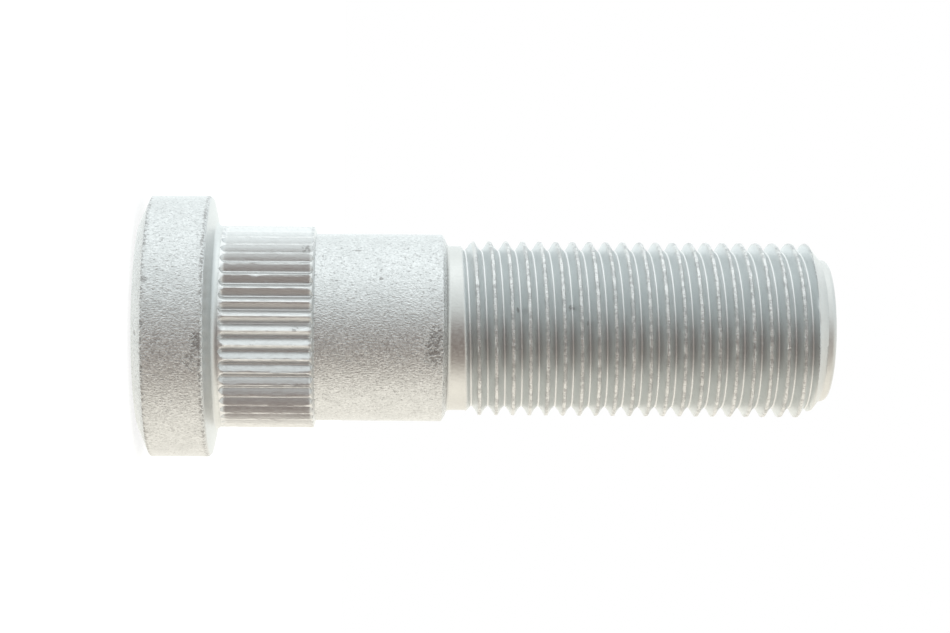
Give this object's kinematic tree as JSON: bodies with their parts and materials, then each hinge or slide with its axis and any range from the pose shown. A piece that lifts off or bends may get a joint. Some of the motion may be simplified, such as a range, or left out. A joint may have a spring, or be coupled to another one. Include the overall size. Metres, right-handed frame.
{
  "type": "wheel bolt",
  "caption": "Press-in wheel bolt: round flat-backed head, splined neck, plain shank, short relief and a long fine-threaded end with a bevelled nose.",
  "frame": {"origin": "centre of the flat back face of the head, on which the bolt stands", "axes": "+Z along the bolt's axis from the head towards the thread; +X and +Y across it, with a spline crest on +X"},
  "size_m": [0.0234, 0.0234, 0.0616],
  "materials": {
    "zinc_coated_steel": "matte silver-grey zinc coating, finely grained, with dark specks and worn bright thread crests"
  },
  "bodies": {
    "root": {"wheel_bolt": "zinc_coated_steel"}
  },
  "joints": []
}
